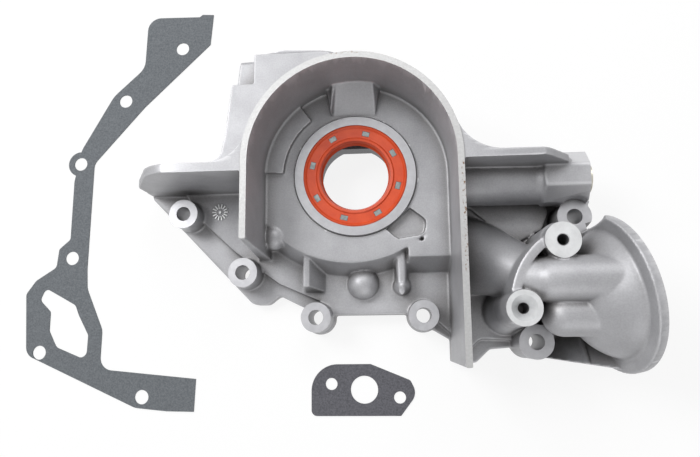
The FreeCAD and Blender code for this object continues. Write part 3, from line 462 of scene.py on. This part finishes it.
# %% Shoulder and keystone
shoulder_from, shoulder_to, shoulder_drop = 102.3, 107.7, 2.4
shoulder_z, relief_r = 36.0, 16.2
arch_wall_x = 61.5
for x in (shoulder_from, shoulder_to):
    bmesh.ops.bisect_plane(casting, geom=casting.verts[:] + casting.edges[:] + casting.faces[:],
                           plane_co=at(x, 0), plane_no=(1, 0, 0))
for vert in casting.verts:
    x, y, z = vert.co * 1000
    near_tube = math.hypot(y - relief_axis[0], z - relief_axis[1]) < relief_r
    if arch_wall_x < x < shoulder_to and z > shoulder_z and near_tube:
        share = min(1.0, (shoulder_to - x) / (shoulder_to - shoulder_from))
        vert.co.z -= shoulder_drop / 1000 * share * (z - shoulder_z) / 13

key_top, key_half_width, key_front, key_depth, key_rise = 34.0, 13.0, 39.0, 16.5, 11.0
for vert in casting.verts:
    x, y, z = vert.co * 1000
    reach = math.hypot(x, y)
    if flat(z, key_top) and abs(x) < key_half_width and y > key_front - 5 and reach < key_front + 18:
        vert.co.z = (floor_z + 0.2 + key_rise * (reach - key_front) / key_depth) / 1000
print("points in the casting:", len(casting.verts))

# %% [markdown]
# The turned bores in the middle are filled with plain cylinders, so that the remesh closes them
# and the cutters can open them again with true walls. The bosses are filled in the same way.

# %% Fill the bores
cx, cy = rotor_centre
add_round(casting, (cx, cy, -allowance), (cx, cy, 5.6), 55.0)
add_round(casting, (cx, cy, 5.0), (cx, cy, 17.0), 44.0)
add_round(casting, (0, 0, 14.0), (0, 0, seal_face + allowance), 33.0)
add_round(casting, filter_point(-9.0), filter_point(hub_height + allowance), 11.0)
for x, y, top, radius in boss_faces:
    foot = 45.0 if top == pillar_top else 1.0
    add_round(casting, (x, y, foot), (x, y, top + allowance), radius - 1.0, segments=48)
print("casting with fillers:", len(casting.verts), "points")

# %% [markdown]
# ## Forms that only the skin has
#
# The pattern maker rounded things off by hand, and the photograph shows more of that than plain
# solids do: the bowl behind the filter rim, the pipes that run into it, the rib between the two
# pillars, the ball ends of two bosses, and the tapered gusset and ledge under the arch floor. Each
# is a simple closed shape pushed into the casting. The remesh merges whatever overlaps, so nothing
# has to meet edge to edge.

# %% Bowl behind the filter rim
bowl_centre, bowl_r = 10.0, 37.8
bowl = bmesh.new()
add_ball(bowl, (0, 0, 0), bowl_r)
cut_at = (-1.0 - bowl_centre) / 1000
bmesh.ops.bisect_plane(bowl, geom=bowl.verts[:] + bowl.edges[:] + bowl.faces[:], plane_co=(0, 0, cut_at),
                       plane_no=(0, 0, 1), clear_outer=True)
bmesh.ops.contextual_create(bowl, geom=[edge for edge in bowl.edges if edge.is_boundary])
turn = filter_axis.to_track_quat("Z", "Y").to_matrix().to_4x4()
bmesh.ops.transform(bowl, matrix=Matrix.Translation(filter_point(bowl_centre) / 1000) @ turn, verts=bowl.verts)
bmesh.ops.recalc_face_normals(bowl, faces=bowl.faces)
carrier = bpy.data.meshes.new("bowl")
bowl.to_mesh(carrier)
bowl.free()
casting.from_mesh(carrier)
bpy.data.meshes.remove(carrier)
add_round(casting, filter_point(-2.0), filter_point(2.0), land_r - 1.0)
print("bowl points added, casting now:", len(casting.verts))

# %% [markdown]
# Two oil pipes meet the bowl. A ball rounds off the end of the return pipe, and a block under it
# is the wall that it stands on.

# %% Return pipe with its foot, neck of the first pillar, and inlet pipe
pipe_y, pipe_z, pipe_r = -84.5, 56.0, 11.5
add_round(casting, (110.0, pipe_y, pipe_z), (138.0, pipe_y, pipe_z), pipe_r)
add_ball(casting, (110.0, pipe_y, pipe_z), pipe_r)
add_block(casting, (104.0, -92.0, 30.0), (134.0, -77.0, 52.0))
add_round(casting, (*pillar_spots[0], 5.0), (*pillar_spots[0], 63.0), 10.4)
add_round(casting, (90.8, -65.6, 59.5), (104.0, -66.3, 62.6), 11.2, 12.0)
print("casting with pipes:", len(casting.verts), "points")

# %% [markdown]
# A curved rib joins the two pillars. Tapered pins stand side by side along a curve with one bend,
# and the remesh turns the row into a wall with draft.

# %% Rib between the pillars
rib_start, rib_bend, rib_end = Vector((101.0, -46.5)), Vector((87.8, -56.0)), Vector((84.2, -72.0))
rib_top = pillar_top - 1.5
pins = 18
for k in range(pins):
    t = k / (pins - 1)
    spot = rib_start * (1 - t) ** 2 + rib_bend * 2 * t * (1 - t) + rib_end * t ** 2
    add_round(casting, (*spot, 5.0), (*spot, rib_top), 3.4, 2.6, segments=32)
print("rib pins:", pins)

# %% [markdown]
# The floor of the arch has a ledge, a gusset and rounded bosses with sloped walls, since a
# casting needs draft to leave its mould. So a block here may be narrower at the top.

# %% Arch floor
def add_taper(bm, foot, top, z0, z1):
    """A block whose foot and top are (x0, y0, x1, y1) rectangles."""
    made = bmesh.ops.create_cube(bm, size=2.0)["verts"]
    for vert in made:
        x0, y0, x1, y1 = top if vert.co.z > 0 else foot
        vert.co = at(x1 if vert.co.x > 0 else x0, y1 if vert.co.y > 0 else y0, z1 if vert.co.z > 0 else z0)


# Ledge at the right of the floor, stepped round the small recess
add_taper(casting, (30.0, -58.6, 57.0, -40.0), (30.5, -48.9, 57.0, -40.0), plateau_z - 2, floor_z)
add_taper(casting, (43.5, -44.0, 57.0, -10.0), (43.5, -44.0, 57.0, -10.0), plateau_z - 2, floor_z)
for left, back in ((37.0, -39.8), (39.8, -37.6), (41.4, -33.0)):
    add_block(casting, (left, -43.0, plateau_z), (45.0, back, floor_z))
# Web below the relief tube
add_block(casting, (62.0, -45.0, 2.0), (106.0, -18.0, 20.5))
# Gusset with a sloped end, and the strip along the bottom edge
add_taper(casting, (-33.0, -68.5, -19.0, -44.0), (-31.8, -65.5, -28.4, -44.0), plateau_z - 1, floor_z - 3)
add_taper(casting, (-19.0, -82.2, 33.5, -70.0), (-19.0, -81.9, 33.5, -70.0), 0.5, plateau_z)
# Domed boss, knob at the left wall, and the round end of the right rib
add_ball(casting, (3.1, -63.7, plateau_z + 2.0), 9.3, 8.5)
add_round(casting, (-51.1, -35.4, plateau_z - 4), (-50.0, -35.0, 24.0), 7.0, 6.2)
add_ball(casting, (-49.6, -35.4, 23.0), 7.6, 7.0)
add_ball(casting, (26.4, -65.5, plateau_z), 5.2, 13.0)

# The right rib is slimmer at its top than at its foot. Its middle is in metres.
rib_x, rib_top_z = 0.02635, 24.0
slim = [v for v in casting.verts
        if flat(v.co.z * 1000, rib_top_z) and 22 < v.co.x * 1000 < 31 and v.co.y * 1000 < -38]
for vert in slim:
    vert.co.x = rib_x + (vert.co.x - rib_x) * 0.5
print("rib points drawn in:", len(slim))

# %% [markdown]
# ## The soft skin
#
# Voxel size decides both the finest detail and the number of faces. At 0.62 mm a rib two
# millimetres wide still stands, and a few rounds of smoothing then give fillets of under a
# millimetre. Decimate takes back the faces that flat areas don't need.

# %% Remesh and smooth
def as_object(bm, name, materials):
    mesh = bpy.data.meshes.new(name)
    bm.to_mesh(mesh)
    bm.free()
    for material in materials:
        mesh.materials.append(material)
    thing = bpy.data.objects.new(name, mesh)
    bpy.context.scene.collection.objects.link(thing)
    return thing


def settle(thing):
    """Make the modifiers' result the object's own mesh."""
    graph = bpy.context.evaluated_depsgraph_get()
    mesh = bpy.data.meshes.new_from_object(thing.evaluated_get(graph))
    thing.modifiers.clear()
    old = thing.data
    thing.data = mesh
    bpy.data.meshes.remove(old)
    return len(mesh.polygons)


skins = [cast_skin, milled_face, turned_face, rim_face, pillar_face]
housing = as_object(casting, "cast_housing", skins)
voxels = housing.modifiers.new("sand grain", "REMESH")
voxels.mode = "VOXEL"
voxels.voxel_size = 0.00062
soften = housing.modifiers.new("mould wear", "SMOOTH")
soften.factor = 0.5
soften.iterations = 5
print("faces after the remesh:", settle(housing))
thin = housing.modifiers.new("fewer faces", "DECIMATE")
thin.ratio = 0.2
print("triangles after thinning:", settle(housing))

# %% [markdown]
# ## Machining
#
# Each cutter is a plain block or cylinder with the material of the face that it leaves. The
# Boolean modifier carries that material over to the new faces, so nothing has to be picked
# afterwards. Face cutters come first, then the turned bores.

# %% The cutters
cast, milled, turned, rim, fly_cut = range(5)
cutters = []


def cutter(name, finish, shape, *sizes, **options):
    """A cutter made by one of the shape functions, in the finish that it leaves."""
    bm = bmesh.new()
    shape(bm, *sizes, **options)
    for face in bm.faces:
        face.material_index = finish
    cutters.append(as_object(bm, name, skins))


def add_ring(bm, start, end, inner, outer):
    """A closed ring about the line from start to end, spun from one rectangle."""
    start, end = Vector(start) / 1000, Vector(end) / 1000
    axis = (end - start).normalized()
    side = axis.orthogonal().normalized()
    corners = [bm.verts.new(point + side * radius / 1000)
               for point, radius in ((start, inner), (end, inner), (end, outer), (start, outer))]
    edges = [bm.edges.new((a, b)) for a, b in zip(corners, corners[1:] + corners[:1])]
    bmesh.ops.spin(bm, geom=corners + edges, cent=start, axis=axis, angle=math.tau, steps=128, use_merge=True)
    bmesh.ops.remove_doubles(bm, verts=bm.verts, dist=1e-6)
    bmesh.ops.recalc_face_normals(bm, faces=bm.faces)


def add_shelf_skin(bm):
    """Half ring outside the arch, a little under the rim, which the webs and shelves keep as cast."""
    skin_z = rim_height - 0.7
    add_ring(bm, (0.6, 0, skin_z), (0.6, 0, rim_height + 5), 60.3, 134.0)
    bmesh.ops.bisect_plane(bm, geom=bm.verts[:] + bm.edges[:] + bm.faces[:], plane_co=at(0, -5.6),
                           plane_no=(0, -1, 0), clear_outer=True)
    bmesh.ops.holes_fill(bm, edges=[edge for edge in bm.edges if edge.is_boundary], sides=0)
    bmesh.ops.recalc_face_normals(bm, faces=bm.faces)


cutter("mounting_mill", milled, add_block, (-200, -200, -20), (200, 200, 0))
cutter("rim_mill", rim, add_block, (-136, -114, rim_height), (63, 63, rim_height + 6))
cutter("shelf_mill", rim, add_block, (62.5, -3.5, rim_height), (122, 6, rim_height + 6))
cutter("shelf_skin", cast, add_shelf_skin)
cutter("ring_groove", cast, add_ring, (0, 0, floor_z - 0.5), (0, 0, 45),
       seal_ring_r + 0.2, seal_ring_r + 0.8)
cutter("pickup_mill", milled, add_block, (-90, pickup_face, -5), (0, pickup_face + 8, 45))

# The end of the relief boss, in three cuts that leave the bolt boss beside it whole
relief_y = relief_axis[0]
cutter("relief_mill", milled, add_round, (boss_end, *relief_axis), (boss_end + 8, *relief_axis), 13.0)
cutter("relief_mill_top", milled, add_block, (boss_end, relief_y - 15.5, 35.2),
       (boss_end + 8, relief_y + 17, 62))
cutter("relief_mill_foot", milled, add_block, (boss_end, relief_y - 11.9, 17),
       (boss_end + 8, relief_y + 17, 35.4))

cutter("ring_mill", turned, add_round, (0, 0, seal_face), (0, 0, seal_face + 4), seal_ring_r)

# Bolt bosses and pillars: a face and a hole each. The high boss beside the relief boss gets a deep
# mill, which clears the relief boss's side above it.
bolt_drill, pillar_drill = 4.4, 2.9
for k, (x, y, top, radius) in enumerate(boss_faces):
    pillar = top == pillar_top
    reach = 9.9 if top == high_boss_top else radius + 1.5 if top == low_boss_top else radius + 0.3
    deep = 24 if top == high_boss_top and y > -50 else 6
    cutter(f"boss_mill_{k}", fly_cut if pillar else milled, add_round, (x, y, top), (x, y, top + deep), reach,
           segments=64)
    cutter(f"drill_{k}", turned, add_round, (x, y, top - 20 if pillar else -3), (x, y, top + 3),
           pillar_drill if pillar else bolt_drill, segments=48)
tap_r = 2.6
for (x, y), mouth in zip(pillar_spots, (4.0, 7.4)):
    cutter(f"cone_sink_{round(x)}", fly_cut, add_round, (x, y, pillar_top - (mouth - tap_r) + 0.6),
           (x, y, pillar_top + 0.8), tap_r, mouth, segments=64)

# The filter head, then the bores about the crankshaft
past_head = filter_point(9)
cutter("rim_face_mill", cast, add_ring, filter_point(0), filter_point(8), land_r + 0.1, rim_r + 0.6)
cutter("land_mill", milled, add_ring, filter_point(land_height), past_head, step_r, 40.0)
cutter("step_mill", milled, add_round, filter_point(step_height), past_head, step_r + 0.5)
cutter("hub_mill", milled, add_round, filter_point(hub_height), past_head, hub_r)
cutter("union_drill", turned, add_round, filter_point(-8.5), past_head, 10.06)
cutter("union_way", turned, add_round, filter_point(-20), filter_point(0), 7.0, segments=48)
cutter("inlet_way", turned, add_round, (120, -66.3, 64.8), (162, -66.3, 69.2), 6.0, segments=64)
cutter("recess_lathe", turned, add_round, (cx, cy, -3), (cx, cy, 5.0), 53.5, segments=192)
cutter("pocket_lathe", turned, add_round, (cx, cy, 4.0), (cx, cy, 16.08), 42.06, segments=192)
cutter("crank_lathe", turned, add_round, (0, 0, 15.0), (0, 0, 23.0), 23.0)
cutter("seal_lathe", turned, add_round, (0, 0, 22.0), (0, 0, seal_face + 3), 31.01, segments=192)
print("cutters:", len(cutters))

# %% [markdown]
# All cuts go on one object as a stack of modifiers, which are then worked out in one go. Edges
# sharper than 32 degrees stay crisp, the others are shaded smooth.

# %% Cut
for thing in cutters:
    cut = housing.modifiers.new(thing.name, "BOOLEAN")
    cut.operation = "DIFFERENCE"
    cut.solver = "MANIFOLD"
    cut.object = thing
print("faces after machining:", settle(housing))
for thing in cutters:
    bpy.data.objects.remove(thing)
housing.data.shade_smooth()
housing.data.set_sharp_from_angle(angle=math.radians(32))
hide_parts("pump_body")
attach(housing, "housing")
counts = [0] * len(skins)
for face in housing.data.polygons:
    counts[face.material_index] += 1
print("faces by finish:", counts)

# %% [markdown]
# ## Steel in the seal's windows
#
# Eight windows in the rubber show the steel ring that stiffens the seal. The CAD rubber has the
# windows, and a small plate with a bevelled edge lies in each. They are cubes, turned about the
# crankshaft axis one eighth at a time.

# %% Window plates
# The size is in metres, the places are in millimetres
windows, window_r, window_z = 8, 26.3, 28.62
plate_size = (0.00295, 0.0044, 0.0005)
plates = bmesh.new()
for k in range(windows):
    turn = Matrix.Rotation(math.radians(30 + 360 / windows * k), 4, "Z")
    place = turn @ Matrix.Translation(at(window_r, 0, window_z)) @ Matrix.Diagonal((*plate_size, 1.0))
    bmesh.ops.create_cube(plates, size=1.0, matrix=place)
bmesh.ops.bevel(plates, geom=plates.edges[:], affect="EDGES", offset=0.0001, segments=1, profile=0.5,
                material=-1)
window_plates = as_object(plates, "seal_window_plates", [pressed_steel])
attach(window_plates, "housing")
print("window plates:", len(window_plates.data.polygons), "faces")

# %% [markdown]
# ## Mould date dial
#
# Foundries leave a small round insert in the mould. It prints a ring with short strokes, here
# plain ones that say nothing. A stroke is a bevelled cube on the plate, fourteen of them in a ring.

# %% Dial
dial_x, dial_y, dial_r = -86.5, -17.0, 5.2
# The size is in metres, the places are in millimetres
strokes, stroke_size = 14, (0.0029, 0.0009, 0.0009)
dial = bmesh.new()
for k in range(strokes):
    turn = Matrix.Rotation(math.tau * k / strokes, 4, "Z")
    place = Matrix.Translation(at(dial_x, dial_y, plateau_z + 0.15)) @ turn
    place = place @ Matrix.Translation(at(dial_r - 1.4, 0)) @ Matrix.Diagonal((*stroke_size, 1.0))
    bmesh.ops.create_cube(dial, size=1.0, matrix=place)
bmesh.ops.bevel(dial, geom=dial.edges[:], affect="EDGES", offset=0.00015, segments=2, profile=0.5,
                material=-1)
add_round(dial, (dial_x, dial_y, plateau_z - 0.3), (dial_x, dial_y, plateau_z + 0.5), 1.3, 0.9, segments=32)
date_dial = as_object(dial, "date_dial", [pillar_face])
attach(date_dial, "housing")
print("dial:", len(date_dial.data.polygons), "faces")

# %% [markdown]
# ## Floor, light and camera
#
# The photograph is a plain product shot: white ground, soft light mostly from the upper left, and
# a camera some forty centimetres over the part and a little in front of it. The floor mixes its
# lit colour with plain white for camera and mirror rays, so that it looks white and still keeps
# a soft shadow. The same two kinds of ray see a white world, which lights the part less.

# %% Floor
def seen_directly(tree):
    """1 for a camera or mirror ray, 0 for a ray that carries light."""
    path = add(tree, "ShaderNodeLightPath").outputs
    return add(tree, "ShaderNodeMath", {"operation": "ADD", "use_clamp": True},
               {0: path["Is Camera Ray"], 1: path["Is Glossy Ray"]})


def white_ground(name):
    material, tree, where = new_material(name)
    share = add(tree, "ShaderNodeMath", {"operation": "MULTIPLY", 1: 0.86}, {0: seen_directly(tree)})
    lit = add(tree, "ShaderNodeBsdfDiffuse", {"Color": linear("#F6F6F6")})
    glow = add(tree, "ShaderNodeEmission", {"Color": (1, 1, 1, 1), "Strength": 1.0})
    mixed = add(tree, "ShaderNodeMixShader",
                links={"Fac": share, 1: lit, 2: glow})
    add(tree, "ShaderNodeOutputMaterial", links={"Surface": mixed})
    return material


floor_bm = bmesh.new()
bmesh.ops.create_grid(floor_bm, x_segments=1, y_segments=1, size=3.0)
floor = as_object(floor_bm, "floor", [white_ground("plain_white_ground")])
print("floor:", floor.data.materials[0].name)

# %% [markdown]
# A large lamp at the upper left gives the main light. One behind the part lights the walls that
# face away, and a weak one in front opens the shadows.

# %% World and lamps
world = bpy.data.worlds.new("white_surround")
bpy.context.scene.world = world
world.use_nodes = True
sky = world.node_tree
sky.nodes.clear()
world_light = 0.32
fill = add(sky, "ShaderNodeMath", {"operation": "MULTIPLY_ADD", 1: 1 - world_light, 2: world_light},
           {0: seen_directly(sky)})
back = add(sky, "ShaderNodeBackground", {"Color": (1, 1, 1, 1)}, {"Strength": fill})
add(sky, "ShaderNodeOutputWorld", links={"Surface": back})


def softbox(name, spot, size, power):
    """A square lamp, in metres and watts, turned towards the middle of the part."""
    middle = Vector((0.0, -0.02, 0.03))
    data = bpy.data.lights.new(name, "AREA")
    data.size = size
    data.energy = power
    lamp = bpy.data.objects.new(name, data)
    lamp.location = spot
    lamp.rotation_euler = (middle - Vector(spot)).to_track_quat("-Z", "Y").to_euler()
    bpy.context.scene.collection.objects.link(lamp)


softbox("key_softbox", (-0.75, 0.45, 1.05), 0.6, 12.5)
softbox("top_softbox", (0.15, 0.70, 0.85), 0.7, 4.5)
softbox("front_softbox", (0.25, -1.0, 0.55), 0.7, 2.2)
print("lamps:", len(bpy.data.lights))

# %% [markdown]
# The camera's place and turn were worked out from the photograph: the seal, the bolt holes and
# the gaskets are flat circles of known size, which fixes distance, tilt and focal length.

# %% Camera
camera_data = bpy.data.cameras.new("photo_camera")
camera_data.sensor_width = 36.0
camera_data.lens = 32.914
camera = bpy.data.objects.new("photo_camera", camera_data)
camera.location = at(25.8745, -91.8019, 400.6305)
camera.rotation_euler = Euler((0.1582, 0.0804, -0.0116), "XYZ")
bpy.context.scene.collection.objects.link(camera)
bpy.context.scene.camera = camera
bpy.context.scene.view_settings.view_transform = "Standard"
print("lens in millimetres:", round(camera_data.lens, 3))
